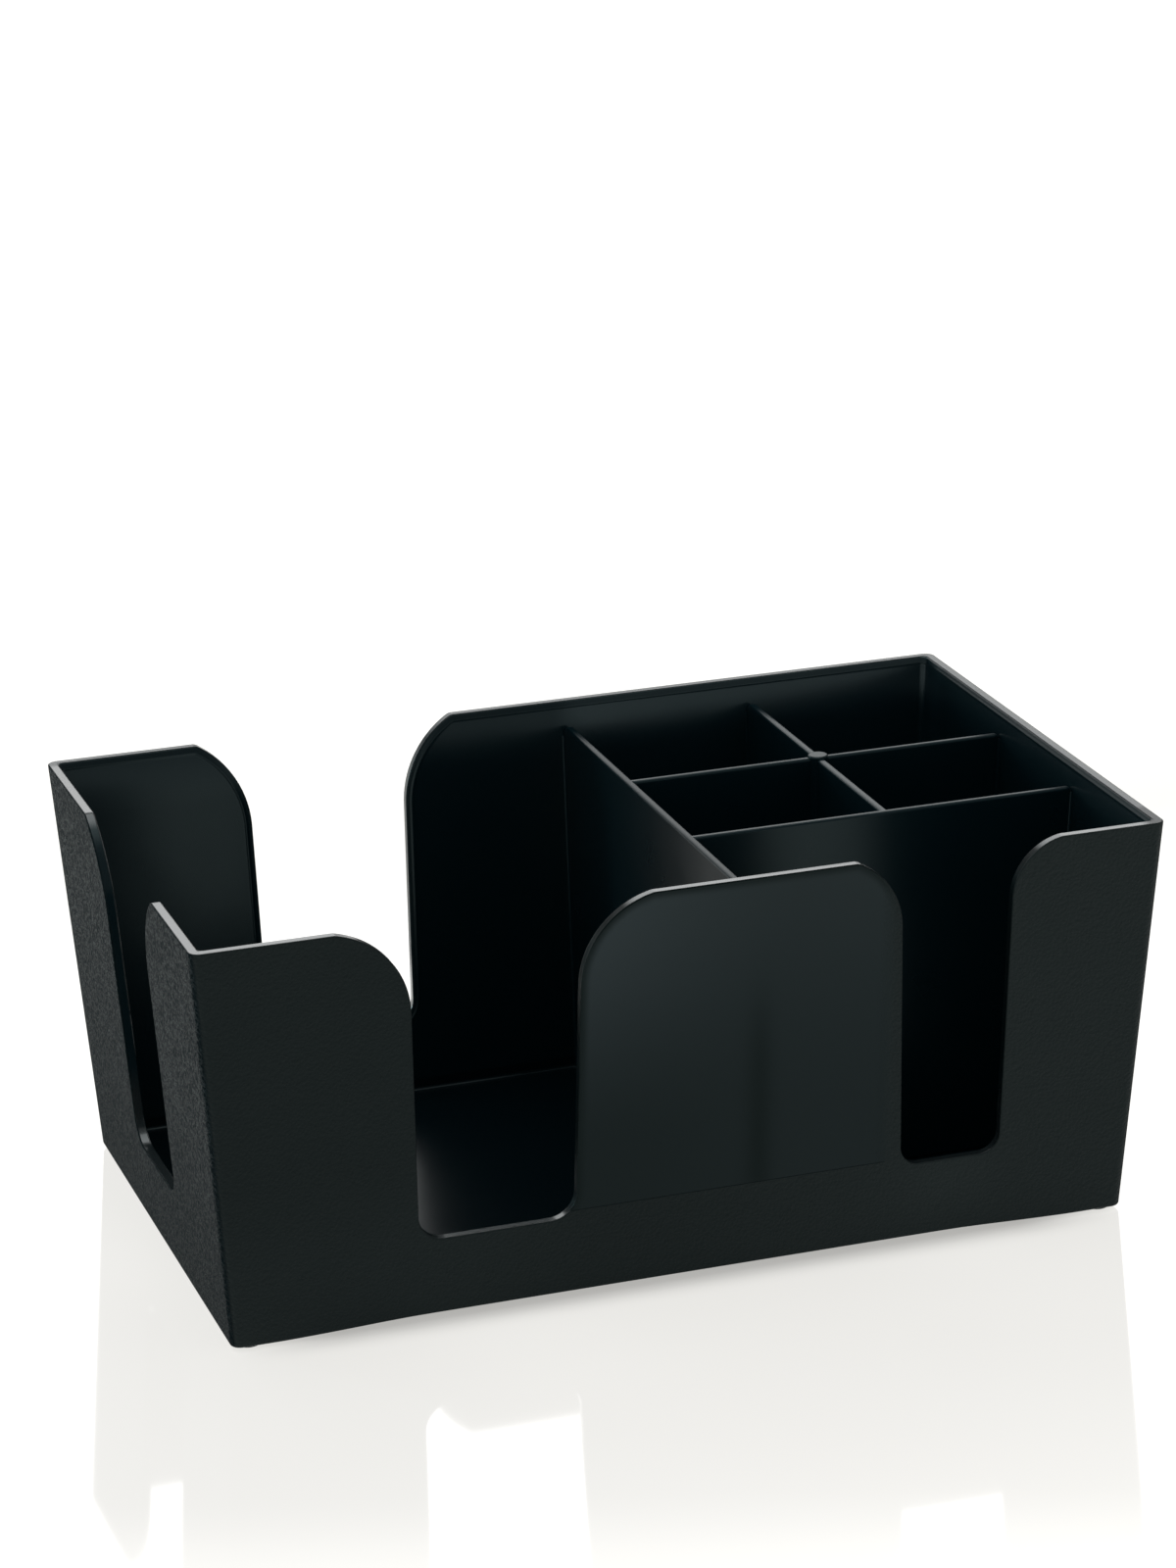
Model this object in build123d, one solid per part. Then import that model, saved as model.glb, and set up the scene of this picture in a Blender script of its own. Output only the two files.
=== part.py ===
from build123d import *

# Six-compartment counter caddy for napkins, straws and stirrers.
#
# One thin-walled moulding with leaning walls.  It is written as its floor, four walls,
# dividers, crossing post and feet, which meet face to face.
#
# Frame: millimetres, +X to the right, +Y to the rear, +Z up.  The origin is in the
# middle of the footprint, on the plane that the four feet stand on.

import os
from math import radians, sin, tan

# ---------------------------------------------------------------- overall size
length = 241.0            # over the rim, left to right
width = 147.6             # over the rim, front to rear
height = 102.8            # feet to rim
wall_lean = 3.97          # outward lean of every wall, degrees
wall = 2.5                # wall thickness, measured level
corner_radius = 2.6       # outside, where two walls meet
inner_corner_radius = 1.5
rim_round = 0.35          # rounding of the rim and slot edges, outside
inner_rim_round = 0.4     # the same edges, inside
crease = 30.0             # faces that meet at more than this make a sharp edge, degrees
corner_return = 6.0       # how far an end wall wraps round its corners

# ---------------------------------------------------------------- floor and feet
floor_top = 3.0           # upper side of the floor
floor_thickness = 1.6
floor_fillet = 1.0        # inside, where the floor turns up into the walls
tray_height = 6.0         # top of the low upstand that belongs to the floor
foot_height = 0.85        # from the feet's soles up to the skirt
foot_diameter = 7.0
foot_inset = 1.4          # from the outer faces of the skirt to the foot
foot_round = 0.5
skirt_round = 0.8         # rounding of the outer bottom edge
relief_rise = 1.3         # hollow under the front and rear skirts
relief_margin = 9.0       # from the end of the skirt to where the hollow starts
relief_ramp = 34.0        # length over which it rises
relief_bend = 300.0       # bending radius at the top of each ramp

# ---------------------------------------------------------------- U-shaped slots
slot_sill = 21.5          # height of every slot's lowest point
slot_lean = 1.1           # each side of a slot opens upward by this, degrees
slot_mid = 50.0           # height at which a slot's width is given
wide_slot = 39.9
wide_foot = 6.5           # radius at the bottom of a wide slot
wide_mouth = 26.8         # radius by which a wide slot opens out below the rim
wide_mouth_turn = 58.5    # how far the side has turned where it meets the rim, degrees
front_mouth = 22.6        # the same two for the wide slot at the front
front_mouth_turn = 77.0
narrow_slot = 26.7
narrow_foot = 5.0
inner_mouth = 20.0        # the same for the narrow slot, beside the centre panel
inner_mouth_turn = 64.0
outer_mouth = 15.0        # and beside the right panel
outer_mouth_turn = 79.0
mouth_blend = 3.0         # rounding where a mouth meets the rim
wide_slot_from_left = 72.35   # left rim to the middle of the front and rear wide slots
narrow_slot_from_right = 53.65
side_slot_from_front = 71.2

# ---------------------------------------------------------------- dividers
divider_drop = 6.3        # rim down to the top of every divider
divider = 2.0             # thickness at the top
divider_lean = 0.35       # each side thickens downward by this, degrees
divider_round = 0.7       # rounding along the top edges
end_dip = 3.0             # radius by which a divider's top dips at the front and rear walls
side_dip = 1.2            # the same at the right wall
bay_width = 133.95        # napkin bay, clear at the rim
rear_cell = 48.6          # rear cells, clear from front to rear at the dividers' top
middle_cell = 43.2        # middle cells, likewise
post_diameter = 5.2       # round post where two dividers cross
post_crown = 0.6          # how far the post stands above them
post_round = 0.5

# ---------------------------------------------------------------- worked out
lean = tan(radians(wall_lean))
slot_slope = tan(radians(slot_lean))
divider_slope = tan(radians(divider_lean))
divider_top = height - divider_drop
reach = length + width    # longer than any cut through the part needs
wide_slot_x = wide_slot_from_left - length / 2
narrow_slot_x = length / 2 - narrow_slot_from_right
side_slot_y = side_slot_from_front - width / 2
inner_drop = wall + divider_drop * lean
bay_divider_x = bay_width + wall + divider / 2 - length / 2
middle_divider_y = width / 2 - inner_drop - rear_cell - divider / 2
front_divider_y = middle_divider_y - middle_cell - divider
cross_divider_x = (bay_divider_x + divider / 2 + length / 2 - inner_drop) / 2


def spread(z):
    """How far the outer faces stand inside the rim's outline at height z."""
    return (height - z) * lean


def plan(z, inset_x, inset_y, radius):
    """Rounded outline at height z, set in from the outer faces."""
    size_x = length - 2 * (spread(z) + inset_x)
    size_y = width - 2 * (spread(z) + inset_y)
    return Plane.XY.offset(z) * RectangleRounded(size_x, size_y, radius)


def leaning_block(z_low, z_high, inset_x, inset_y, radius):
    """Solid between two such outlines."""
    low = plan(z_low, inset_x, inset_y, radius)
    high = plan(z_high, inset_x, inset_y, radius)
    return loft([low, high], ruled=True)


def level_slice(z_low, z_high):
    """Everything between two heights."""
    return Pos(0, 0, z_low) * Box(reach, reach, z_high - z_low, align=(Align.CENTER, Align.CENTER, Align.MIN))


def relief_cutter():
    """Shallow hollow with ramped ends, right through from front to rear."""
    edge = length / 2 - spread(foot_height) - relief_margin
    crown = edge - relief_ramp
    top = foot_height + relief_rise
    outline = FilletPolyline(
        (-edge, 0), (-edge, foot_height), (-crown, top), (crown, top), (edge, foot_height), (edge, 0),
        radius=[0, 0, relief_bend, relief_bend, 0, 0],
        close=True,
    )
    profile = Plane.XZ * make_face(outline)
    return extrude(profile, amount=reach / 2, both=True)


def outer_body():
    """Solid envelope of the walls, rounded along its bottom edge, with the skirts hollowed."""
    body = leaning_block(foot_height, height, 0, 0, corner_radius)
    bottom = body.faces().sort_by(Axis.Z)[0]
    body = fillet(bottom.edges(), skirt_round)
    inside_skirt = leaning_block(0, floor_top, wall, wall, inner_corner_radius)
    return body - (relief_cutter() - inside_skirt)


def cavity():
    """Room inside the walls, from the floor to past the rim."""
    room = leaning_block(floor_top, height + wall, wall, wall, inner_corner_radius)
    bottom = room.faces().sort_by(Axis.Z)[0]
    return fillet(bottom.edges(), floor_fillet)


def recess():
    """Hollow under the floor, inside the skirt."""
    return leaning_block(0, floor_top - floor_thickness, wall, wall, inner_corner_radius)


def slot_side(half_width, mouth, turn):
    """Right-hand mouth of a slot: an arc from its leaning side out to the rim."""
    rise = mouth * (sin(radians(slot_lean + turn)) - sin(radians(slot_lean)))
    start_z = height - rise
    start_x = half_width + (start_z - slot_mid) * slot_slope
    return JernArc((start_x, start_z), (slot_slope, 1), mouth, -turn)


def slot_profile(width_mid, left_mouth, left_turn, right_mouth, right_turn, foot):
    """Outline of a U-shaped slot about its own middle, with the room above its mouths."""
    over = height + wall
    half_sill = width_mid / 2 - (slot_mid - slot_sill) * slot_slope
    left = mirror(slot_side(width_mid / 2, left_mouth, left_turn), Plane.YZ)
    right = slot_side(width_mid / 2, right_mouth, right_turn)
    bottom = FilletPolyline(left @ 0, (-half_sill, slot_sill), (half_sill, slot_sill), right @ 0, radius=foot)
    above = Polyline(left @ 1, ((left @ 1).X, over), ((right @ 1).X, over), right @ 1)
    return make_face(left + bottom + right + above)


def slots():
    """Cutters for the four slots: two in the front wall, one in the rear, one at the left."""
    front_wide = slot_profile(
        wide_slot, front_mouth, front_mouth_turn, front_mouth, front_mouth_turn, wide_foot)
    wide = slot_profile(wide_slot, wide_mouth, wide_mouth_turn, wide_mouth, wide_mouth_turn, wide_foot)
    narrow = slot_profile(
        narrow_slot, inner_mouth, inner_mouth_turn, outer_mouth, outer_mouth_turn, narrow_foot)
    front, rear, left = (0, -1, 0), (0, 1, 0), (-1, 0, 0)
    return [
        extrude(Plane.XZ * Pos(wide_slot_x, 0) * front_wide, amount=width, dir=front),
        extrude(Plane.XZ * Pos(narrow_slot_x, 0) * narrow, amount=width, dir=front),
        extrude(Plane.XZ * Pos(wide_slot_x, 0) * wide, amount=width, dir=rear),
        extrude(Plane.YZ * Pos(side_slot_y, 0) * wide, amount=length, dir=left),
    ]


def mouth_corners(solid):
    """Short edges across the rim, where the slots' mouths end."""
    rim = solid.edges().filter_by_position(Axis.Z, height - rim_round, height + rim_round)
    return rim.filter_by(GeomType.LINE).filter_by(lambda edge: edge.length < 2 * wall)


def sharp_edges(solid, z_low):
    """Edges above z_low at which two faces meet at a corner."""
    owners = {}
    for face in solid.faces():
        for edge in face.edges():
            owners.setdefault(edge, []).append(face)
    found = []
    for edge, faces in owners.items():
        middle = edge.position_at(0.5)
        if middle.Z < z_low or len(faces) != 2:
            continue
        angle = faces[0].normal_at(middle).get_angle(faces[1].normal_at(middle))
        if angle > crease:
            found.append(edge)
    return ShapeList(found)


def on_outside(edge):
    """Whether an edge lies on an outer face of the walls."""
    middle = edge.position_at(0.5)
    depth_x = length / 2 - spread(middle.Z) - abs(middle.X)
    depth_y = width / 2 - spread(middle.Z) - abs(middle.Y)
    return min(depth_x, depth_y) < wall / 2


def shell():
    """Floor and walls in one, with the slots cut and their edges rounded."""
    body = outer_body() - cavity() - recess()
    for cutter in slots():
        body -= cutter
    body = fillet(mouth_corners(body), mouth_blend)
    body = fillet(sharp_edges(body, tray_height).filter_by(on_outside), rim_round)
    return fillet(sharp_edges(body, tray_height), inner_rim_round)


def split_shell(body):
    """The floor tray, the front and rear walls, and the end walls with their corners."""
    tray_zone = level_slice(0, tray_height)
    between_ends = leaning_block(0, height + wall, corner_return, -wall, corner_radius)
    upper = body - tray_zone
    long_walls = (upper & between_ends).solids().sort_by(Axis.Y)
    end_walls = (upper - between_ends).solids().sort_by(Axis.X)
    return {
        "floor_tray": body & tray_zone,
        "front_wall": long_walls[0],
        "rear_wall": long_walls[-1],
        "left_wall": end_walls[0],
        "right_wall": end_walls[-1],
    }


def divider_slab(start, end):
    """Upright slab about the X axis from start to end, thicker towards the floor."""
    half_top = divider / 2
    half_foot = half_top + divider_top * divider_slope
    section = make_face(
        Polyline((-half_foot, 0), (half_foot, 0), (half_top, divider_top), (-half_top, divider_top), close=True)
    )
    return extrude(Plane.YZ.offset(start) * section, amount=end - start)


def finish_top(slab, axis, dips):
    """Dip the top where the slab's ends meet a wall, and round its long edges.

    dips gives a radius for each end that meets a wall, by its place along the axis.
    """
    along = slab.faces().sort_by(Axis.Z)[-1].edges().sort_by(axis)
    for end, radius in dips.items():
        slab = fillet(along[end], radius)
    across = axis.direction.cross(Axis.Z.direction)
    upper = sharp_edges(slab, divider_top - end_dip)
    return fillet([edge for edge in upper if abs(edge.tangent_at(0.5).dot(across)) < 0.5], divider_round)


def dividers(room):
    """Dividers, cut to the walls and to each other, and the post where two cross."""
    half_x, half_y = length / 2, width / 2
    bay = Pos(bay_divider_x, 0) * Rot(0, 0, 90) * divider_slab(-half_y, half_y)
    bay = finish_top(bay & room, Axis.Y, {0: end_dip, -1: end_dip})
    across = divider_slab(bay_divider_x, half_x)
    front = finish_top(Pos(0, front_divider_y) * across & room, Axis.X, {-1: side_dip}) - bay
    middle = finish_top(Pos(0, middle_divider_y) * across & room, Axis.X, {-1: side_dip}) - bay
    cross = Pos(cross_divider_x, 0) * Rot(0, 0, 90) * divider_slab(front_divider_y, half_y)
    cross = finish_top(cross & room, Axis.Y, {-1: end_dip}) - front
    post = Pos(cross_divider_x, middle_divider_y, floor_top) * upright(
        post_diameter, divider_top + post_crown - floor_top)
    post = fillet(post.faces().sort_by(Axis.Z)[-1].edges(), post_round)
    halves_x = (middle - post).solids().sort_by(Axis.X)
    halves_y = (cross - post).solids().sort_by(Axis.Y)
    return {
        "bay_divider": bay,
        "front_divider": front,
        "middle_divider_left": halves_x[0],
        "middle_divider_right": halves_x[-1],
        "cross_divider_front": halves_y[0],
        "cross_divider_rear": halves_y[-1],
        "crossing_post": post,
    }


def upright(diameter, rise):
    """Round upright that stands on z = 0."""
    return Cylinder(diameter / 2, rise, align=(Align.CENTER, Align.CENTER, Align.MIN))


def feet(tray):
    """Round feet at the corners, from the counter up to the floor and round the skirt."""
    inset = foot_inset + foot_diameter / 2
    x = length / 2 - spread(foot_height) - inset
    y = width / 2 - spread(foot_height) - inset
    foot = upright(foot_diameter, floor_top - floor_thickness)
    foot = fillet(foot.faces().sort_by(Axis.Z)[0].edges(), foot_round)
    return {
        "foot_front_left": Pos(-x, -y) * foot - tray,
        "foot_front_right": Pos(x, -y) * foot - tray,
        "foot_rear_left": Pos(-x, y) * foot - tray,
        "foot_rear_right": Pos(x, y) * foot - tray,
    }


def main():
    """Write every piece to parts/ under its own name."""
    pieces = split_shell(shell())
    pieces.update(dividers(cavity()))
    pieces.update(feet(pieces["floor_tray"]))
    os.makedirs("parts", exist_ok=True)
    for name, piece in pieces.items():
        piece.label = name
        export_step(piece, f"parts/{name}.step")


main()
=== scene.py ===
import logging
from dataclasses import dataclass
from enum import Enum
from math import cos, radians, sin, tan
from typing import Dict, List, Sequence, Tuple, Union

import bmesh
import bpy
from mathutils import Matrix, Vector


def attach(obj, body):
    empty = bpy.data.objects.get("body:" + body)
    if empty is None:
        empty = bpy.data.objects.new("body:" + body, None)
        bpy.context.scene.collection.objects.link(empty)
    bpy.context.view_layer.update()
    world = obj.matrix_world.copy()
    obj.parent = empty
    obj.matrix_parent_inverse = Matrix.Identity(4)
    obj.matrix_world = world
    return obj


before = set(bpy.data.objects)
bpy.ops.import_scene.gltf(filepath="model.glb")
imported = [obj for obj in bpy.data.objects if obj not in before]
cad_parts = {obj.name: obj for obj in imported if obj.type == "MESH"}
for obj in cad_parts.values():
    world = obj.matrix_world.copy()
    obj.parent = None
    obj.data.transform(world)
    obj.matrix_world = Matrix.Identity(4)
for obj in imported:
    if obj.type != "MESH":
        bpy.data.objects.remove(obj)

LOG = logging.getLogger("caddy")
MM = 0.001

Colour = Tuple[float, float, float]
Point = Tuple[float, float, float]
Reach = Tuple[float, float]
Operand = Union["Signal", float]
Settings = Dict[str, object]
Inputs = Dict[Union[int, str], Union["Signal", float, Sequence[float]]]


class Signal:
    """An output socket of a material's nodes that can stand in arithmetic."""

    def __init__(self, graph: "Graph", socket: bpy.types.NodeSocket) -> None:
        """Wrap one output socket of a graph."""
        self.graph = graph
        self.socket = socket

    def math(self, operation: str, first: Operand, second: Operand = 0.0) -> "Signal":
        """Add a Math node.

        Args:
            operation: the node's operation.
            first: its first operand.
            second: its second operand.

        Returns:
            The node's value.
        """
        settings = {"operation": operation}
        return self.graph.add("ShaderNodeMath", settings, {0: first, 1: second})

    def __add__(self, other: Operand) -> "Signal":
        """Signal plus a signal or a number."""
        return self.math("ADD", self, other)

    __radd__ = __add__

    def __sub__(self, other: Operand) -> "Signal":
        """Signal minus a signal or a number."""
        return self.math("SUBTRACT", self, other)

    def __rsub__(self, other: Operand) -> "Signal":
        """Number minus signal."""
        return self.math("SUBTRACT", other, self)

    def __mul__(self, other: Operand) -> "Signal":
        """Signal times a signal or a number."""
        return self.math("MULTIPLY", self, other)

    __rmul__ = __mul__

    def __truediv__(self, other: Operand) -> "Signal":
        """Signal over a signal or a number."""
        return self.math("DIVIDE", self, other)

    def __rtruediv__(self, other: Operand) -> "Signal":
        """Number over signal."""
        return self.math("DIVIDE", other, self)

    def __neg__(self) -> "Signal":
        """The signal with its sign turned."""
        return self.math("MULTIPLY", self, -1.0)

    def __abs__(self) -> "Signal":
        """The signal's size without its sign."""
        return self.math("ABSOLUTE", self)

    def root(self) -> "Signal":
        """The square root."""
        return self.math("SQRT", self)

    def smaller(self, other: Operand) -> "Signal":
        """The smaller of two values."""
        return self.math("MINIMUM", self, other)

    def larger(self, other: Operand) -> "Signal":
        """The larger of two values."""
        return self.math("MAXIMUM", self, other)

    def bell(self, centre: float, spread: float) -> "Signal":
        """A smooth hump of height 1.

        Args:
            centre: value at which it peaks.
            spread: distance at which it has fallen to 1/e.

        Returns:
            The hump's height.
        """
        away = (self - centre) / spread
        return self.math("EXPONENT", -(away * away))

    def ramp(self, start: float, full: float) -> "Signal":
        """A share that goes smoothly from 0 to 1.

        Args:
            start: value at which it is 0.
            full: value at which it is 1, which may be the smaller of the two.

        Returns:
            The share.
        """
        if start > full:
            return 1.0 - self.ramp(full, start)
        settings = {"interpolation_type": "SMOOTHSTEP", "clamp": True}
        inputs = {"Value": self, "From Min": start, "From Max": full}
        return self.graph.add("ShaderNodeMapRange", settings, inputs)


@dataclass(frozen=True)
class Cloud:
    """A kind of cloudy noise: the width of one cloud in metres, its finer layers, their weight."""

    size: float
    detail: float
    rough: float


@dataclass(frozen=True)
class Place:
    """A shaded point, or a world's direction: its vector and its x, y and z."""

    graph: "Graph"
    here: Signal
    x: Signal
    y: Signal
    z: Signal

    def noise(self, cloud: Cloud) -> Signal:
        """Read cloudy noise at the point.

        Args:
            cloud: the kind of noise.

        Returns:
            The noise, from 0 to 1.
        """
        return self.graph.add("ShaderNodeTexNoise", {}, {
            "Vector": self.here, "Scale": 1.0 / cloud.size, "Detail": cloud.detail,
            "Roughness": cloud.rough}, "Fac")


class Graph:
    """The nodes of one material or world."""

    def __init__(self, owner: Union[bpy.types.Material, bpy.types.World]) -> None:
        """Start an empty node tree.

        Args:
            owner: the material or world that the nodes are for.
        """
        owner.use_nodes = True
        self.tree = owner.node_tree
        self.tree.nodes.clear()

    def node(self, kind: str, settings: Settings, inputs: Inputs) -> bpy.types.Node:
        """Add a node.

        Args:
            kind: the node's type.
            settings: its properties, set first.
            inputs: values or signals for its input sockets, by name or number.

        Returns:
            The new node.
        """
        node = self.tree.nodes.new(kind)
        for name, value in settings.items():
            setattr(node, name, value)
        for key, value in inputs.items():
            if isinstance(value, Signal):
                self.tree.links.new(value.socket, node.inputs[key])
            else:
                node.inputs[key].default_value = value
        return node

    def add(self, kind: str, settings: Settings, inputs: Inputs,
            output: Union[int, str] = 0) -> Signal:
        """Add a node and give one of its outputs.

        Args:
            kind: the node's type.
            settings: its properties.
            inputs: values or signals for its input sockets.
            output: name or number of the output wanted.

        Returns:
            That output.
        """
        return Signal(self, self.node(kind, settings, inputs).outputs[output])

    def mix(self, share: Operand, first: Signal, second: Signal) -> Signal:
        """Mix two shaders: share 0 gives the first, 1 the second."""
        return self.add("ShaderNodeMixShader", {}, {0: share, 1: first, 2: second})

    def bumped(self, height: Signal) -> Signal:
        """The normal under a height given in metres."""
        inputs = {"Strength": 1.0, "Distance": 1.0, "Height": height}
        return self.add("ShaderNodeBump", {}, inputs)

    def place(self, output: str = "Object") -> Place:
        """Find the shaded point in the part's own frame, or the direction of a world's ray.

        Args:
            output: "Object" for a surface, "Generated" for a world.

        Returns:
            The point, in metres, or the direction.
        """
        here = self.add("ShaderNodeTexCoord", {}, {}, output)
        split = self.node("ShaderNodeSeparateXYZ", {}, {0: here})
        return Place(self, here, *(Signal(self, split.outputs[i]) for i in range(3)))

    def looked_at(self) -> Signal:
        """Tell a look at the surface from bounced light.

        Returns:
            1 where the camera, a mirror or a clear body looks at it, 0 where light bounces.
        """
        path = self.node("ShaderNodeLightPath", {}, {})
        seen = Signal(self, path.outputs["Is Camera Ray"])
        for name in ("Is Glossy Ray", "Is Transmission Ray"):
            seen = seen.larger(Signal(self, path.outputs[name]))
        return seen

    def finish(self, surface: Signal, kind: str = "ShaderNodeOutputMaterial") -> None:
        """Lead a shader to the output."""
        self.node(kind, {}, {"Surface": surface})


class Wall(Enum):
    """The four walls of the caddy."""

    FRONT = "front_wall"
    REAR = "rear_wall"
    LEFT = "left_wall"
    RIGHT = "right_wall"


@dataclass(frozen=True)
class Moulding:
    """Sizes of the moulding that its finishes and fillets follow, in metres."""

    length: float = 241.0 * MM
    width: float = 147.6 * MM
    height: float = 102.8 * MM
    lean: float = tan(radians(3.97))
    wall: float = 2.5 * MM
    corner_radius: float = 2.6 * MM
    floor_top: float = 3.0 * MM
    divider: float = 2.0 * MM
    divider_top: float = 96.5 * MM
    divider_lean: float = tan(radians(0.35))
    end_dip: float = 3.0 * MM
    side_dip: float = 1.2 * MM
    bay_divider_x: float = 16.95 * MM
    middle_divider_y: float = 21.27 * MM
    front_divider_y: float = -23.93 * MM
    cross_divider_x: float = 67.75 * MM
    foot_width: float = 134.0 * MM
    foot_length: float = 226.4 * MM

    def face(self, wall: Wall, z: float) -> float:
        """Place of a wall's inner face.

        Args:
            wall: the wall.
            z: height.

        Returns:
            Its x for an end wall, its y for a long one.
        """
        half = self.width / 2 if wall in (Wall.FRONT, Wall.REAR) else self.length / 2
        inside = half - self.wall - (self.height - z) * self.lean
        return -inside if wall in (Wall.FRONT, Wall.LEFT) else inside

    def divider_half(self, z: float) -> float:
        """Half the thickness of a divider at a height."""
        return self.divider / 2 + (self.divider_top - z) * self.divider_lean

    def depth(self, at: Place) -> Signal:
        """How far a point lies inside the outer faces of the walls.

        Args:
            at: the shaded point.

        Returns:
            The depth, in metres.
        """
        drop = (self.height - at.z) * self.lean
        round_x = (abs(at.x) + drop - (self.length / 2 - self.corner_radius)).larger(0.0)
        round_y = (abs(at.y) + drop - (self.width / 2 - self.corner_radius)).larger(0.0)
        return self.corner_radius - (round_x * round_x + round_y * round_y).root()


@dataclass(frozen=True)
class Mouth:
    """One side of a slot's mouth: its radius and how far it has turned at the rim."""

    radius: float
    turn: float


@dataclass(frozen=True)
class Slot:
    """A U-shaped finger slot seen square to its wall, in metres."""

    wall: Wall
    middle: float
    left: Mouth
    right: Mouth
    half_width: float = 19.95 * MM
    foot: float = 6.5 * MM
    measured_at: float = 50.0 * MM
    sill: float = 21.5 * MM
    lean: float = radians(1.1)
    height: float = Moulding.height
    side_seam: float = 0.1 * MM
    foot_seam: float = 1.0 * MM

    def beside(self, aside: Signal, z: Signal, mouth: Mouth) -> Signal:
        """Distance from a side of the slot and from the arc of its mouth.

        Args:
            aside: distance from the slot's middle.
            z: height.
            mouth: the side's mouth.

        Returns:
            The distance into the wall.
        """
        slope = tan(self.lean)
        start = self.height - mouth.radius * (sin(self.lean + mouth.turn) - sin(self.lean))
        centre_z = start - mouth.radius * sin(self.lean)
        half = self.half_width + (start - self.measured_at) * slope
        centre_x = half + mouth.radius * cos(self.lean)
        across = ((z - centre_z).smaller(0.0) * slope + centre_x - aside).larger(0.0)
        above = (z - centre_z).larger(0.0)
        return mouth.radius - (across * across + above * above).root()

    def below(self, aside: Signal, z: Signal) -> Signal:
        """Distance from the rounded foot of the slot.

        Args:
            aside: distance from the slot's middle.
            z: height.

        Returns:
            The distance into the wall.
        """
        half_sill = self.half_width - (self.measured_at - self.sill) * tan(self.lean)
        across = (aside - (half_sill - self.foot)).larger(0.0)
        under = (self.sill + self.foot - z).larger(0.0)
        return (across * across + under * under).root() - self.foot

    def distance(self, along: Signal, z: Signal) -> Signal:
        """Distance of a point of the wall from the slot's edge.

        Args:
            along: place along the wall.
            z: height.

        Returns:
            The distance.
        """
        aside = abs(along - self.middle)
        side = self.beside(aside, z, self.left)
        if self.left != self.right:
            on_right = along.ramp(self.middle - self.side_seam, self.middle + self.side_seam)
            side = side + on_right * (self.beside(aside, z, self.right) - side)
        foot = self.below(aside, z)
        foot_top = self.sill + self.foot
        return foot + z.ramp(foot_top, foot_top + self.foot_seam) * (side - foot)


FRONT_MOUTH = Mouth(22.6 * MM, radians(77.0))
REAR_MOUTH = Mouth(26.8 * MM, radians(58.5))
NARROW_LEFT = Mouth(20.0 * MM, radians(64.0))
NARROW_RIGHT = Mouth(15.0 * MM, radians(79.0))
BAY_MIDDLE = -48.15 * MM


@dataclass(frozen=True)
class Slots:
    """All finger slots, and where the walls that they cut begin, in metres."""

    cuts: Tuple[Slot, ...] = (
        Slot(Wall.FRONT, BAY_MIDDLE, FRONT_MOUTH, FRONT_MOUTH),
        Slot(Wall.FRONT, 66.85 * MM, NARROW_LEFT, NARROW_RIGHT, 13.35 * MM, 5.0 * MM),
        Slot(Wall.REAR, BAY_MIDDLE, REAR_MOUTH, REAR_MOUTH),
        Slot(Wall.LEFT, -2.6 * MM, REAR_MOUTH, REAR_MOUTH),
    )
    off_front: Reach = (-62.0 * MM, -61.5 * MM)
    off_rear: Reach = (62.0 * MM, 61.5 * MM)
    off_left: Reach = (-110.0 * MM, -109.5 * MM)

    def along(self, wall: Wall, at: Place) -> Tuple[Signal, Signal]:
        """Where a point lies seen from a wall.

        Args:
            wall: the wall.
            at: the shaded point.

        Returns:
            The place along the wall, and a metre for every point that is not on it.
        """
        if wall is Wall.LEFT:
            return at.y, at.x.ramp(*self.off_left)
        reach = self.off_front if wall is Wall.FRONT else self.off_rear
        return at.x, at.y.ramp(*reach)

    def edge(self, at: Place) -> Signal:
        """Distance of a point of a wall from the rim and from the edges of the slots.

        Args:
            at: the shaded point.

        Returns:
            The shortest of them, in metres.
        """
        nearest = Moulding.height - at.z
        for slot in self.cuts:
            along, elsewhere = self.along(slot.wall, at)
            nearest = nearest.smaller(slot.distance(along, at.z) + elsewhere)
        return nearest.larger(0.0)


@dataclass(frozen=True)
class Skin:
    """How one kind of surface of the black plastic looks."""

    colour: Colour
    roughness: float
    specular: float
    tint: Colour = (0.76, 0.98, 1.0)
    coat: float = 0.0
    coat_roughness: float = 0.12
    mottle: float = 0.04

    def shader(self, graph: Graph, normal: Signal, patches: Signal) -> Signal:
        """Add the skin's shader.

        Args:
            graph: the material's graph.
            normal: the bumped normal.
            patches: slow noise that stirs the roughness.

        Returns:
            The shader.
        """
        return graph.add("ShaderNodeBsdfPrincipled", {"distribution": "GGX"}, {
            "Base Color": (*self.colour, 1.0),
            "Roughness": self.roughness + (patches - 0.5) * self.mottle,
            "Specular IOR Level": self.specular,
            "Specular Tint": (*self.tint, 1.0),
            "Coat Weight": self.coat,
            "Coat Roughness": self.coat_roughness,
            "Normal": normal})


@dataclass(frozen=True)
class Zones:
    """Shares from 0 to 1 of the places that the finish of the walls tells apart."""

    inside: Signal
    outside: Signal
    between: Signal
    end: Signal
    panel: Signal


@dataclass(frozen=True)
class Roll:
    """How a face falls back where it rolls over to its edge: its width, its slope at the edge."""

    width: float
    slope: float

    def fall(self, edge: Signal) -> Signal:
        """The fall in metres at a distance from the edge."""
        near = (1.0 - edge / self.width).larger(0.0)
        return near * near * (self.width * self.slope / 2)


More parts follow.
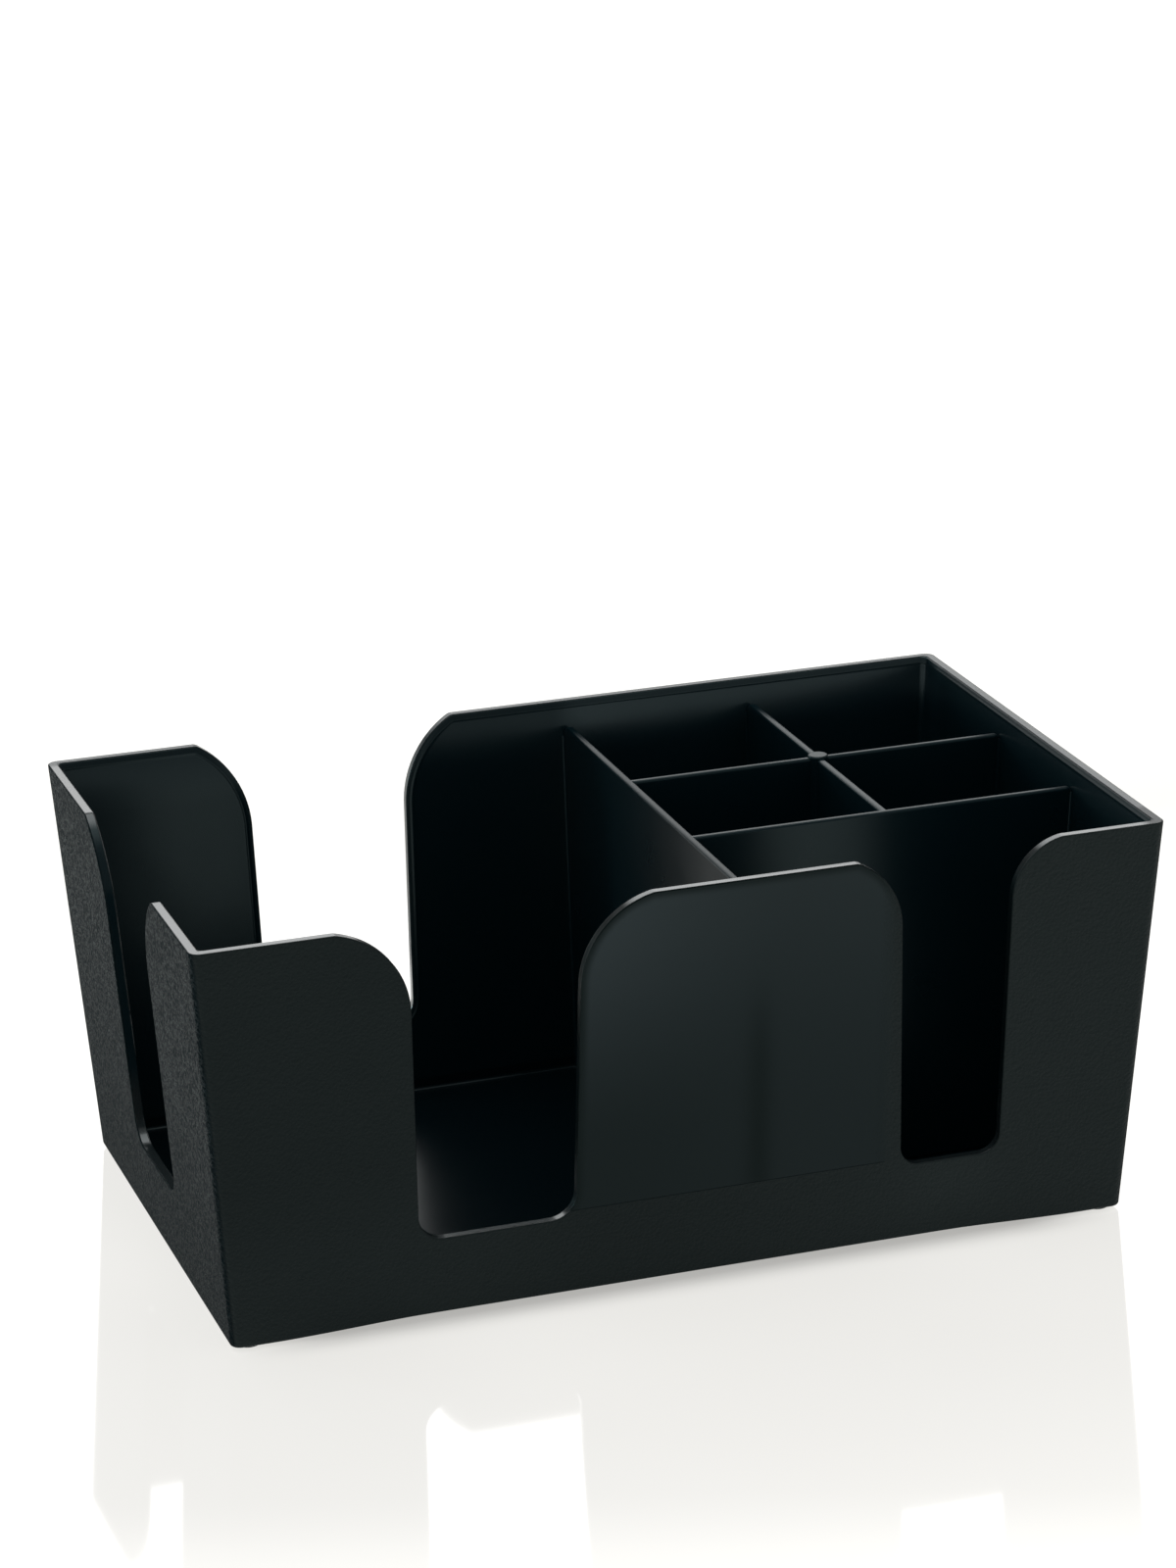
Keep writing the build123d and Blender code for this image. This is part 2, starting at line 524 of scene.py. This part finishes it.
@dataclass(frozen=True)
class Relief:
    """Fine relief on the faces of the walls, in metres."""

    grain_size: float = 0.85 * MM
    grain_softness: float = 0.6
    pebble_share: float = 0.7
    fine: Cloud = Cloud(0.85 * MM / 2.2, 3.0, 0.6)
    fine_share: float = 0.6
    grain_depth: float = 0.34 * MM
    fold: Cloud = Cloud(1.7 * MM, 3.0, 0.6)
    fold_sharpness: float = 14.0
    fold_depth: float = 0.22 * MM
    flare_height: float = 15.0 * MM
    flare_slope: float = 0.20
    bead: Reach = (1.6 * MM, 0.40 * MM)
    bead_height: float = 0.09 * MM
    roll_inside: Roll = Roll(2.4 * MM, 0.12)
    roll_outside: Roll = Roll(0.8 * MM, 0.12)
    sink_spread: float = 2.2 * MM
    sink_depth: float = 0.03 * MM
    right_wall: Reach = (105.0 * MM, 108.0 * MM)

    def grain(self, at: Place) -> Signal:
        """Height of the leather grain: rounded pebbles with fine relief.

        Args:
            at: the shaded point.

        Returns:
            The height, roughly from 0 to 1.
        """
        cells = at.graph.add("ShaderNodeTexVoronoi", {"feature": "SMOOTH_F1"}, {
            "Vector": at.here, "Scale": 1.0 / self.grain_size,
            "Smoothness": self.grain_softness}, "Distance")
        return (1.0 - cells) * self.pebble_share + at.noise(self.fine) * self.fine_share

    def folds(self, at: Place) -> Signal:
        """Coarser wandering folds that raking light picks out: 1 along a fold, 0 away from it."""
        return 1.0 - abs((at.noise(self.fold) - 0.5) * self.fold_sharpness).smaller(1.0)

    def flare(self, z: Signal) -> Signal:
        """How far the inner faces stand back where they open out below the rim, by height."""
        up = ((z - (Moulding.height - self.flare_height)) / self.flare_height).larger(0.0)
        return up * up * (self.flare_height * self.flare_slope / 2)

    def sinks(self, at: Place) -> Signal:
        """Shallow sink marks on the walls opposite the dividers.

        Args:
            at: the shaded point.

        Returns:
            Their depth, from 0 to 1.
        """
        on_long = at.x.bell(Moulding.bay_divider_x, self.sink_spread)
        on_right = (at.y.bell(Moulding.middle_divider_y, self.sink_spread)
                    + at.y.bell(Moulding.front_divider_y, self.sink_spread))
        right = at.x.ramp(*self.right_wall)
        return on_long * (1.0 - right) + on_right * right

    def height(self, at: Place, zones: Zones, edge: Signal, folds: Signal) -> Signal:
        """Height of the whole relief.

        Args:
            at: the shaded point.
            zones: what the point belongs to.
            edge: its distance from the nearest edge.
            folds: the folds of the end walls.

        Returns:
            The height, in metres.
        """
        grain = self.grain(at) * self.grain_depth + folds * zones.end * self.fold_depth
        outer = grain * (1.0 - zones.panel) - self.roll_outside.fall(edge)
        inner = (edge.bell(*self.bead) * self.bead_height
                 - self.flare(at.z) - self.roll_inside.fall(edge))
        return outer * zones.outside + inner * zones.inside - self.sinks(at) * self.sink_depth


@dataclass(frozen=True)
class MiddlePanel:
    """The bare polished field in the middle of the front wall, in metres."""

    left: Reach = (-33.0 * MM, -32.0 * MM)
    right: Reach = (52.7 * MM, 46.7 * MM)
    sill: Reach = (23.25 * MM, 23.55 * MM)
    front: Reach = (-50.0 * MM, -60.0 * MM)
    # Spread of the painted reflection over the field, with painted shade along the sink and the
    # edge:
    low_share: float = 0.15
    low_gain: float = 0.12
    low_reach: Reach = (-20.0 * MM, 40.0 * MM)
    high_loss: float = 0.55
    high_reach: Reach = (-40.0 * MM, 25.0 * MM)
    rise: Reach = (38.0 * MM, 104.0 * MM)
    sink_width: float = 3.5 * MM
    sink_reach: Reach = (85.0 * MM, 55.0 * MM)
    sink_loss: float = 0.22
    edge_reach: Reach = (0.2 * MM, 2.6 * MM)

    def share(self, at: Place) -> Signal:
        """Share of the field at a point, whatever its depth in the wall."""
        across = at.x.ramp(*self.left) * at.x.ramp(*self.right)
        return across * at.z.ramp(*self.sill) * at.y.ramp(*self.front)

    def painted_gleam(self, at: Place, edge: Signal) -> Signal:
        """Share of the painted reflection: high at the upper left, low along the sink and the
        edge, where it leaves painted shade.

        Args:
            at: the shaded point.
            edge: its distance from the nearest edge.

        Returns:
            The share.
        """
        low = self.low_share + self.low_gain * at.x.ramp(*self.low_reach)
        high = 1.0 - self.high_loss * at.x.ramp(*self.high_reach)
        share = low + (high - low) * at.z.ramp(*self.rise)
        sink = at.x.bell(Moulding.bay_divider_x, self.sink_width) * at.z.ramp(*self.sink_reach)
        return (share - self.sink_loss * sink).larger(0.0) * edge.ramp(*self.edge_reach)


@dataclass(frozen=True)
class FrontPaintedSheen:
    """Painted sheen: where the grain is made shinier to look more brightly lit, to the right,
    along the skirt and below the narrow slot.
    """

    right_share: float = 0.45
    right_reach: Reach = (-30.0 * MM, 60.0 * MM)
    skirt_share: float = 0.40
    skirt_drop: Reach = (45.0 * MM, 15.0 * MM)
    skirt_reach: Reach = (-20.0 * MM, -70.0 * MM)
    slot_share: float = 0.40
    slot_across: Reach = (66.0 * MM, 14.0 * MM)
    slot_up: Reach = (16.0 * MM, 9.0 * MM)

    def share(self, at: Place) -> Signal:
        """Add the three up.

        Args:
            at: the shaded point.

        Returns:
            The share of the painted sheen.
        """
        right = self.right_share * at.x.ramp(*self.right_reach)
        skirt = self.skirt_share * at.z.ramp(*self.skirt_drop) * at.x.ramp(*self.skirt_reach)
        slot = self.slot_share * at.x.bell(*self.slot_across) * at.z.bell(*self.slot_up)
        return (right + skirt + slot).smaller(1.0)


@dataclass(frozen=True)
class RimPolishAndHighlight:
    """Where the rims are polished and carry a painted highlight: along the top and at the feet of
    the slots, in metres.
    """

    rear: Reach = (68.0 * MM, 71.0 * MM)
    right: Reach = (114.0 * MM, 117.0 * MM)
    far_loss: float = 0.65
    top: Reach = (Moulding.height - 3.2 * MM, Moulding.height - 0.9 * MM)
    foot: Reach = (42.0 * MM, 32.0 * MM)

    def share(self, at: Place) -> Signal:
        """Share of the polish and its painted highlight at a point, less along the rear and the
        right.
        """
        far = at.y.ramp(*self.rear).larger(at.x.ramp(*self.right)) * self.far_loss
        return (1.0 - far) * at.z.ramp(*self.top).larger(at.z.ramp(*self.foot))


@dataclass(frozen=True)
class BlackPlastic:
    """Black moulded plastic, polished all over."""

    name: str
    polished: Skin
    patches: Cloud = Cloud(18.0 * MM, 3.0, 0.55)
    ripple: Cloud = Cloud(26.0 * MM, 1.0, 0.4)
    ripple_height: float = 0.22 * MM

    def surface(self, at: Place, patches: Signal, ripple: Signal) -> Signal:
        """Dress a surface.

        Args:
            at: the shaded point.
            patches: slow noise that stirs the roughness.
            ripple: slow unevenness of the faces, in metres.

        Returns:
            The shader.
        """
        return self.polished.shader(at.graph, at.graph.bumped(ripple), patches)

    def material(self) -> bpy.types.Material:
        """Build the material.

        Returns:
            The material.
        """
        made = bpy.data.materials.new(self.name)
        graph = Graph(made)
        at = graph.place()
        ripple = at.noise(self.ripple) * self.ripple_height
        graph.finish(self.surface(at, at.noise(self.patches), ripple))
        return made


@dataclass(frozen=True)
class WallPlastic(BlackPlastic):
    """The plastic of the walls: polished inside, leather grain outside, crisp rims, with painted
    highlights, sheen, glints, reflection and shade laid on in places.
    """

    # Painted highlight: a brighter, glossier copy of the polished skin for the rear wall's inner
    # face behind the cells.
    cell_wall_highlight: Skin = Skin((0.0010, 0.0064, 0.0090), 0.26, 0.46)
    # Painted shade: a darker, barely glossy copy for the front wall's rim, which shows where the
    # polished rim does not reach, as on the bends of the slots.
    shaded_rim: Skin = Skin((0.0020, 0.0044, 0.0050), 0.36, 0.045)
    # Partly real polish and partly painted highlight: a brighter, glossier skin for the rims, laid
    # where bright lines are wanted.
    rim: Skin = Skin((0.0060, 0.0090, 0.0098), 0.26, 0.60, (0.85, 0.98, 1.0), 0.6)
    grained: Skin = Skin((0.0020, 0.0040, 0.0040), 0.70, 0.245)
    # Painted sheen: a glossier copy of the grain where the front should look more brightly lit.
    painted_sheen: Skin = Skin((0.0020, 0.0040, 0.0040), 0.70, 0.380)
    # Painted shade: a less glossy, bluer copy of the grain that darkens and tints the outer faces
    # of the end walls.
    shaded_end_grain: Skin = Skin((0.0024, 0.0062, 0.0078), 0.64, 0.022, (0.60, 0.96, 1.0))
    # Painted glints: a glossier copy laid along the folds of the end walls, weaker towards the
    # bottom.
    glint: Skin = Skin((0.0024, 0.0062, 0.0078), 0.50, 0.11, (0.60, 0.96, 1.0))
    panel: Skin = Skin((0.0012, 0.0040, 0.0040), 0.20, 0.117)
    # Painted reflection: a glossier, bluer copy of the panel's finish, spread over the middle
    # panel as a gradient.
    painted_gleam: Skin = Skin((0.0012, 0.0040, 0.0080), 0.20, 0.385)
    relief: Relief = Relief()
    middle_panel: MiddlePanel = MiddlePanel()
    front_painted_sheen: FrontPaintedSheen = FrontPaintedSheen()
    rim_polish_and_highlight: RimPolishAndHighlight = RimPolishAndHighlight()
    slots: Slots = Slots()
    shape: Moulding = Moulding()
    inside_depth: Reach = (2.2 * MM, 2.4 * MM)
    outside_depth: Reach = (0.40 * MM, 0.12 * MM)
    rim_from: Reach = (0.10 * MM, 0.35 * MM)
    rim_to: Reach = (2.45 * MM, 2.15 * MM)
    end_depth: Reach = (1.2 * MM, 0.4 * MM)
    front_wall: Reach = (-60.0 * MM, -63.0 * MM)
    rear_wall: Reach = (58.0 * MM, 62.0 * MM)
    cells: Reach = (12.0 * MM, 22.0 * MM)
    # How the painted glints fade towards the bottom, which paints the lower end walls darker.
    low_glint: float = 0.5
    glint_rise: Reach = (0.0, 75.0 * MM)

    def zones(self, at: Place) -> Zones:
        """Tell the parts of the walls apart.

        Args:
            at: the shaded point.

        Returns:
            The share of each.
        """
        depth = self.shape.depth(at)
        outside = depth.ramp(*self.outside_depth)
        half = self.shape.length / 2
        level = abs(at.x) + (self.shape.height - at.z) * self.shape.lean
        end = level.ramp(*(half - reach for reach in self.end_depth))
        return Zones(
            inside=depth.ramp(*self.inside_depth), outside=outside,
            between=depth.ramp(*self.rim_from) * depth.ramp(*self.rim_to),
            end=outside * end, panel=outside * self.middle_panel.share(at))

    def surface(self, at: Place, patches: Signal, ripple: Signal) -> Signal:
        """Dress the walls, inside, outside and along their rims.

        Args:
            at: the shaded point.
            patches: slow noise that stirs the roughness.
            ripple: slow unevenness of the faces, in metres.

        Returns:
            The shader, with every skin under its own mask.
        """
        zones = self.zones(at)
        edge = self.slots.edge(at)
        folds = self.relief.folds(at)
        normal = at.graph.bumped(self.relief.height(at, zones, edge, folds) + ripple)
        # Painted glints along the folds, faded towards the bottom.
        glint = folds * (self.low_glint + (1.0 - self.low_glint) * at.z.ramp(*self.glint_rise))
        layers = (
            (zones.inside * at.y.ramp(*self.rear_wall) * at.x.ramp(*self.cells), self.cell_wall_highlight),
            (zones.between * at.y.ramp(*self.front_wall), self.shaded_rim),
            (zones.between * self.rim_polish_and_highlight.share(at), self.rim),
            (zones.outside, self.grained),
            (zones.outside * self.front_painted_sheen.share(at), self.painted_sheen),
            (zones.end, self.shaded_end_grain),
            (zones.end * glint, self.glint),
            (zones.panel, self.panel),
            (zones.panel * self.middle_panel.painted_gleam(at, edge), self.painted_gleam))
        surface = self.polished.shader(at.graph, normal, patches)
        for mask, skin in layers:
            surface = at.graph.mix(mask, surface, skin.shader(at.graph, normal, patches))
        return surface


@dataclass(frozen=True)
class GlossyFloor:
    """White studio floor with a faint mirror of what stands on it."""

    name: str = "studio_floor"
    tone: Colour = (0.80, 0.79, 0.775)
    seen: Colour = (0.752, 0.743, 0.716)
    far_gain: float = 0.36
    far_reach: Reach = (50.0 * MM, 320.0 * MM)
    fore_gain: float = 0.12
    fore_reach: Reach = (-172.0 * MM, -212.0 * MM)
    fore_heading: float = radians(18.3)
    shadow_tone: Colour = (0.13, 0.13, 0.13)
    mirror: Colour = (0.155, 0.155, 0.155)
    mirror_roughness: float = 0.05
    contact_depth: float = 0.42
    contact_reach: Reach = (-78.7 * MM, -64.7 * MM)
    contact_front: Reach = (-40.0 * MM, -50.0 * MM)
    contact_ends: Reach = (Moulding.foot_length / 2, 85.0 * MM)

    def far(self, at: Place) -> Signal:
        """Painted light: how much whiter the floor gets away from the caddy's footprint.

        Args:
            at: the point of the floor.

        Returns:
            The gain.
        """
        aside = abs(at.x) - Moulding.foot_length / 2
        ahead = abs(at.y) - Moulding.foot_width / 2
        return aside.larger(ahead).ramp(*self.far_reach) * self.far_gain

    def fore(self, at: Place) -> Signal:
        """Painted light: how much whiter the floor gets towards the foot of the picture, by place.
        """
        towards = at.x * sin(self.fore_heading) + at.y * cos(self.fore_heading)
        return towards.ramp(*self.fore_reach) * self.fore_gain

    def contact(self, at: Place) -> Signal:
        """Soft contact shadow in front of the hollow under the front skirt.

        Args:
            at: the point of the floor.

        Returns:
            How much of the floor's white it takes away.
        """
        ahead = at.y.ramp(*self.contact_reach)
        in_front = at.y.ramp(*self.contact_front)
        return self.contact_depth * ahead * ahead * in_front * abs(at.x).ramp(*self.contact_ends)

    def glow(self, graph: Graph, strength: float) -> Signal:
        """The white that is seen, at a strength."""
        return graph.add("ShaderNodeEmission", {}, {
            "Color": (*self.seen, 1.0), "Strength": strength})

    def material(self) -> bpy.types.Material:
        """Build a lit floor for the light it gives, and a white one to look at.

        Returns:
            The material.
        """
        made = bpy.data.materials.new(self.name)
        graph = Graph(made)
        at = graph.place()
        brightest = 1.0 + self.far_gain + self.fore_gain
        white = (1.0 + self.far(at) + self.fore(at)) * (1.0 - self.contact(at))
        seen = graph.mix(white / brightest, self.glow(graph, 0.0), self.glow(graph, brightest))
        shade = graph.add("ShaderNodeBsdfDiffuse", {}, {"Color": (*self.shadow_tone, 1.0)})
        gloss = graph.add("ShaderNodeBsdfGlossy", {}, {
            "Color": (*self.mirror, 1.0), "Roughness": self.mirror_roughness})
        for layer in (shade, gloss):
            seen = graph.add("ShaderNodeAddShader", {}, {0: seen, 1: layer})
        lit = graph.add("ShaderNodeBsdfDiffuse", {}, {"Color": (*self.tone, 1.0)})
        graph.finish(graph.mix(graph.looked_at(), lit, seen))
        return made


@dataclass(frozen=True)
class Lamp:
    """A soft lamp: its middle and sides in metres, its power in watts and its colour."""

    name: str
    place: Point
    size: Tuple[float, float]
    power: float
    colour: Colour = (1.0, 1.0, 1.0)

    def hang(self, aim: Vector) -> bpy.types.Object:
        """Hang the lamp.

        Args:
            aim: the point that it faces.

        Returns:
            The lamp's object.
        """
        data = bpy.data.lights.new(self.name, "AREA")
        data.shape = "RECTANGLE"
        data.size, data.size_y = self.size
        data.energy = self.power
        data.color = self.colour
        made = bpy.data.objects.new(self.name, data)
        made.location = self.place
        made.rotation_euler = (aim - Vector(self.place)).to_track_quat("-Z", "Y").to_euler()
        bpy.context.scene.collection.objects.link(made)
        return made


@dataclass(frozen=True)
class Studio:
    """Floor, surrounding white and soft lamps."""

    floor_size: float = 12.0
    floor_finish: GlossyFloor = GlossyFloor()
    seen_white: float = 1.0
    ceiling: float = 0.30
    backdrop_top: Reach = (0.10, 0.22)
    lighting_white: float = 0.55
    aim: Point = (0.0, 0.0, 0.05)
    lamps: Tuple[Lamp, ...] = (
        Lamp("softbox_over", (-0.15, 0.10, 1.35), (1.3, 1.3), 9.0),
        Lamp("strip_left", (-0.95, 0.80, 0.20), (0.16, 0.45), 3.0, (0.55, 0.93, 1.0)),
        Lamp("softbox_rear", (0.15, 1.45, 0.86), (1.6, 0.75), 6.0),
    )

    def floor(self) -> bpy.types.Object:
        """Lay the floor.

        Returns:
            The floor's object.
        """
        work = bmesh.new()
        bmesh.ops.create_grid(work, x_segments=1, y_segments=1, size=self.floor_size / 2)
        mesh = bpy.data.meshes.new("studio_floor")
        work.to_mesh(mesh)
        work.free()
        mesh.materials.append(self.floor_finish.material())
        made = bpy.data.objects.new("studio_floor", mesh)
        bpy.context.scene.collection.objects.link(made)
        return made

    def surround(self) -> bpy.types.World:
        """White backdrop under a dimmer ceiling for the eye, and an even softer white as light.

        Returns:
            The world.
        """
        world = bpy.data.worlds.new("studio_white")
        bpy.context.scene.world = world
        graph = Graph(world)
        high = graph.place("Generated").z.ramp(*self.backdrop_top)
        seen = self.seen_white + high * (self.ceiling - self.seen_white)
        strength = self.lighting_white + graph.looked_at() * (seen - self.lighting_white)
        light = graph.add("ShaderNodeBackground", {}, {
            "Color": (1.0, 1.0, 1.0, 1.0), "Strength": strength})
        graph.finish(light, "ShaderNodeOutputWorld")
        return world

    def build(self) -> None:
        """Set up the whole studio."""
        self.floor()
        self.surround()
        for lamp in self.lamps:
            lamp.hang(Vector(self.aim))
        LOG.info("studio: floor, surround and %d softboxes", len(self.lamps))


@dataclass(frozen=True)
class PhotoCamera:
    """The photograph's camera, found from the caddy's corners."""

    place: Point = (-0.352234, -1.06471, 0.488048)
    azimuth: float = 18.258
    elevation: float = 18.873
    roll: float = -1.305
    focal_pixels: float = 4921.16
    photo_width: int = 1200
    sensor: float = 36.0

    def build(self) -> bpy.types.Object:
        """Place the camera and make it the scene's.

        Returns:
            The camera's object.
        """
        turn, dip, roll = (radians(v) for v in (self.azimuth, self.elevation, self.roll))
        ahead = Vector((sin(turn) * cos(dip), cos(turn) * cos(dip), -sin(dip)))
        level = Vector((cos(turn), -sin(turn), 0.0))
        upright = level.cross(ahead)
        right = level * cos(roll) + upright * sin(roll)
        up = upright * cos(roll) - level * sin(roll)
        data = bpy.data.cameras.new("photo_camera")
        data.sensor_fit = "HORIZONTAL"
        data.sensor_width = self.sensor
        data.lens = self.focal_pixels / self.photo_width * self.sensor
        made = bpy.data.objects.new("photo_camera", data)
        axes = Matrix((right, up, -ahead)).transposed().to_4x4()
        made.matrix_world = Matrix.Translation(Vector(self.place)) @ axes
        bpy.context.scene.collection.objects.link(made)
        bpy.context.scene.camera = made
        LOG.info("camera: lens %.1f mm", data.lens)
        return made


@dataclass(frozen=True)
class Nook:
    """An upright inner corner where a divider meets another face, in metres."""

    foot: Point
    head: Point
    opens_x: int
    opens_y: int


@dataclass(frozen=True)
class SubAssembly:
    """Nodes of the moulding that are dressed together."""

    finish: BlackPlastic
    node_names: Tuple[str, ...]

    def dress(self, nodes: Dict[str, bpy.types.Object]) -> bpy.types.Material:
        """Give the sub-assembly's CAD nodes its finish.

        Args:
            nodes: all nodes by name.

        Returns:
            The finish's material.
        """
        material = self.finish.material()
        for name in self.node_names:
            slots = nodes[name].data.materials
            slots.clear()
            slots.append(material)
            LOG.info("%s: %s", name, material.name)
        return material


@dataclass(frozen=True)
class Shell(SubAssembly):
    """The four leaning walls."""

    finish: BlackPlastic = WallPlastic("black_walls", Skin((0.0008, 0.0052, 0.0072), 0.26, 0.255))
    node_names: Tuple[str, ...] = tuple(wall.value for wall in Wall)


@dataclass(frozen=True)
class Base(SubAssembly):
    """The floor with its skirt."""

    # Painted shade: the floor's finish inside is darker and less glossy than the walls'.
    finish: BlackPlastic = WallPlastic("black_floor", Skin((0.0006, 0.0030, 0.0042), 0.26, 0.13))
    node_names: Tuple[str, ...] = ("floor_tray",)


@dataclass(frozen=True)
class Feet(SubAssembly):
    """The four round feet."""

    finish: BlackPlastic = BlackPlastic("black_feet", Skin((0.0012, 0.0040, 0.0046), 0.45, 0.20))
    node_names: Tuple[str, ...] = (
        "foot_front_left", "foot_front_right", "foot_rear_left", "foot_rear_right")


@dataclass(frozen=True)
class BayDivider(SubAssembly):
    """The full-depth divider beside the napkin bay."""

    # Painted shade: darker and less glossy than the other dividers.
    finish: BlackPlastic = BlackPlastic(
        "black_bay_divider", Skin((0.0004, 0.0048, 0.0070), 0.28, 0.15))
    node_names: Tuple[str, ...] = ("bay_divider",)


@dataclass(frozen=True)
class Dividers(SubAssembly):
    """The dividers of the cells, the post where they cross, and fillets in the upright corners
    where dividers meet the walls, the bay divider and the front divider.
    """

    finish: BlackPlastic = BlackPlastic(
        "black_dividers", Skin((0.0008, 0.0062, 0.0088), 0.28, 0.24))
    node_names: Tuple[str, ...] = (
        "front_divider", "middle_divider_left", "middle_divider_right",
        "cross_divider_front", "cross_divider_rear", "crossing_post")
    shape: Moulding = Moulding()
    fillet_radius: float = 0.7 * MM
    fillet_steps: int = 6
    overlap: float = 0.05 * MM
    crisp_angle: float = radians(30)

    def wall_nooks(self, wall: Wall, middle: float, dip: float) -> List[Nook]:
        """Both nooks where a divider runs into a wall.

        Args:
            wall: the wall.
            middle: the divider's middle plane.
            dip: how far its top dips at that wall.

        Returns:
            The nooks.
        """
        low, high = self.shape.floor_top, self.shape.divider_top - dip
        inward = -1 if self.shape.face(wall, low) > 0 else 1
        nooks = []
        for side in (-1, 1):
            ends = []
            for z in (low, high):
                aside = middle + side * self.shape.divider_half(z)
                face = self.shape.face(wall, z)
                ends.append((face, aside, z) if wall is Wall.RIGHT else (aside, face, z))
            opens = (inward, side) if wall is Wall.RIGHT else (side, inward)
            nooks.append(Nook(*ends, *opens))
        return nooks

    def bay_nooks(self, middle_y: float) -> List[Nook]:
        """Both nooks where a divider along the cells runs into the bay divider.

        Args:
            middle_y: the divider's middle plane.

        Returns:
            The nooks.
        """
        nooks = []
        for side in (-1, 1):
            ends = []
            for z in (self.shape.floor_top, self.shape.divider_top - self.shape.side_dip):
                half = self.shape.divider_half(z)
                ends.append((self.shape.bay_divider_x + half, middle_y + side * half, z))
            nooks.append(Nook(*ends, 1, side))
        return nooks

    def tee_nooks(self) -> List[Nook]:
        """Both nooks where the divider across the cells ends on the front divider.

        Returns:
            The nooks.
        """
        nooks = []
        for side in (-1, 1):
            ends = []
            for z in (self.shape.floor_top, self.shape.divider_top - self.shape.side_dip):
                half = self.shape.divider_half(z)
                across = self.shape.cross_divider_x + side * half
                ends.append((across, self.shape.front_divider_y + half, z))
            nooks.append(Nook(*ends, side, 1))
        return nooks

    def add_fillet(self, work: bmesh.types.BMesh, nook: Nook) -> None:
        """Add one hollow fillet to a mesh.

        Args:
            work: the mesh.
            nook: the corner that it fills.
        """
        radius = self.fillet_radius
        first = bmesh.ops.create_vert(work, co=(radius, 0.0, 0.0))["vert"][0]
        arc = bmesh.ops.spin(
            work, geom=[first], cent=(radius, radius, 0.0), axis=(0.0, 0.0, 1.0),
            angle=-radians(90), steps=self.fillet_steps, use_duplicate=False)
        last = next(v for v in arc["geom_last"] if isinstance(v, bmesh.types.BMVert))
        corner = bmesh.ops.create_vert(work, co=(0.0, 0.0, 0.0))["vert"][0]
        loop = {edge for edge in work.edges if not edge.link_faces}
        loop |= {work.edges.new((corner, first)), work.edges.new((last, corner))}
        section = bmesh.ops.edgenet_fill(work, edges=list(loop))["faces"]
        grown = bmesh.ops.extrude_face_region(work, geom=section)["geom"]
        top = [v for v in grown if isinstance(v, bmesh.types.BMVert)]
        own = list({v for edge in loop for v in edge.verts} | set(top))
        outward = Vector((nook.opens_x, nook.opens_y, 1.0))
        bmesh.ops.translate(work, vec=(-self.overlap, -self.overlap, 0.0), verts=own)
        bmesh.ops.scale(work, vec=outward, verts=own)
        bmesh.ops.translate(work, vec=nook.foot, verts=own)
        bmesh.ops.translate(work, vec=Vector(nook.head) - Vector(nook.foot), verts=top)

    def fillets(self, name: str, nooks: List[Nook],
                material: bpy.types.Material) -> bpy.types.Object:
        """Build the fillets of one divider as one piece.

        Args:
            name: the piece's name.
            nooks: the corners that they fill.
            material: their finish.

        Returns:
            The piece.
        """
        work = bmesh.new()
        for nook in nooks:
            self.add_fillet(work, nook)
        bmesh.ops.recalc_face_normals(work, faces=work.faces[:])
        for face in work.faces:
            face.smooth = True
        for edge in work.edges:
            edge.smooth = edge.calc_face_angle(0.0) < self.crisp_angle
        mesh = bpy.data.meshes.new(name)
        work.to_mesh(mesh)
        work.free()
        mesh.materials.append(material)
        piece = bpy.data.objects.new(name, mesh)
        bpy.context.scene.collection.objects.link(piece)
        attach(piece, "root")
        LOG.info("%s: %d fillets, %d faces", name, len(nooks), len(mesh.polygons))
        return piece

    def build(self, material: bpy.types.Material) -> None:
        """Build the fillets in the upright corners where the dividers meet the walls, the bay
        divider and the front divider.

        Args:
            material: their finish.
        """
        shape = self.shape
        plan = {
            "bay_divider_fillets": (
                self.wall_nooks(Wall.FRONT, shape.bay_divider_x, shape.end_dip)
                + self.wall_nooks(Wall.REAR, shape.bay_divider_x, shape.end_dip)),
            "front_divider_fillets": (
                self.bay_nooks(shape.front_divider_y)
                + self.wall_nooks(Wall.RIGHT, shape.front_divider_y, shape.side_dip)),
            "middle_divider_fillets": (
                self.bay_nooks(shape.middle_divider_y)
                + self.wall_nooks(Wall.RIGHT, shape.middle_divider_y, shape.side_dip)),
            "cross_divider_fillets": (
                self.wall_nooks(Wall.REAR, shape.cross_divider_x, shape.end_dip)
                + self.tee_nooks()),
        }
        for name, nooks in plan.items():
            self.fillets(name, nooks, material)


def main() -> None:
    """Build the dressed caddy in its studio."""
    logging.basicConfig(level=logging.INFO, format="%(message)s")
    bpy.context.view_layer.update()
    for part in (Shell(), Base(), Feet(), BayDivider()):
        part.dress(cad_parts)
    dividers = Dividers()
    dividers.build(dividers.dress(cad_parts))
    Studio().build()
    PhotoCamera().build()
    bpy.context.scene.view_settings.view_transform = "Standard"


if __name__ == "__main__":
    main()
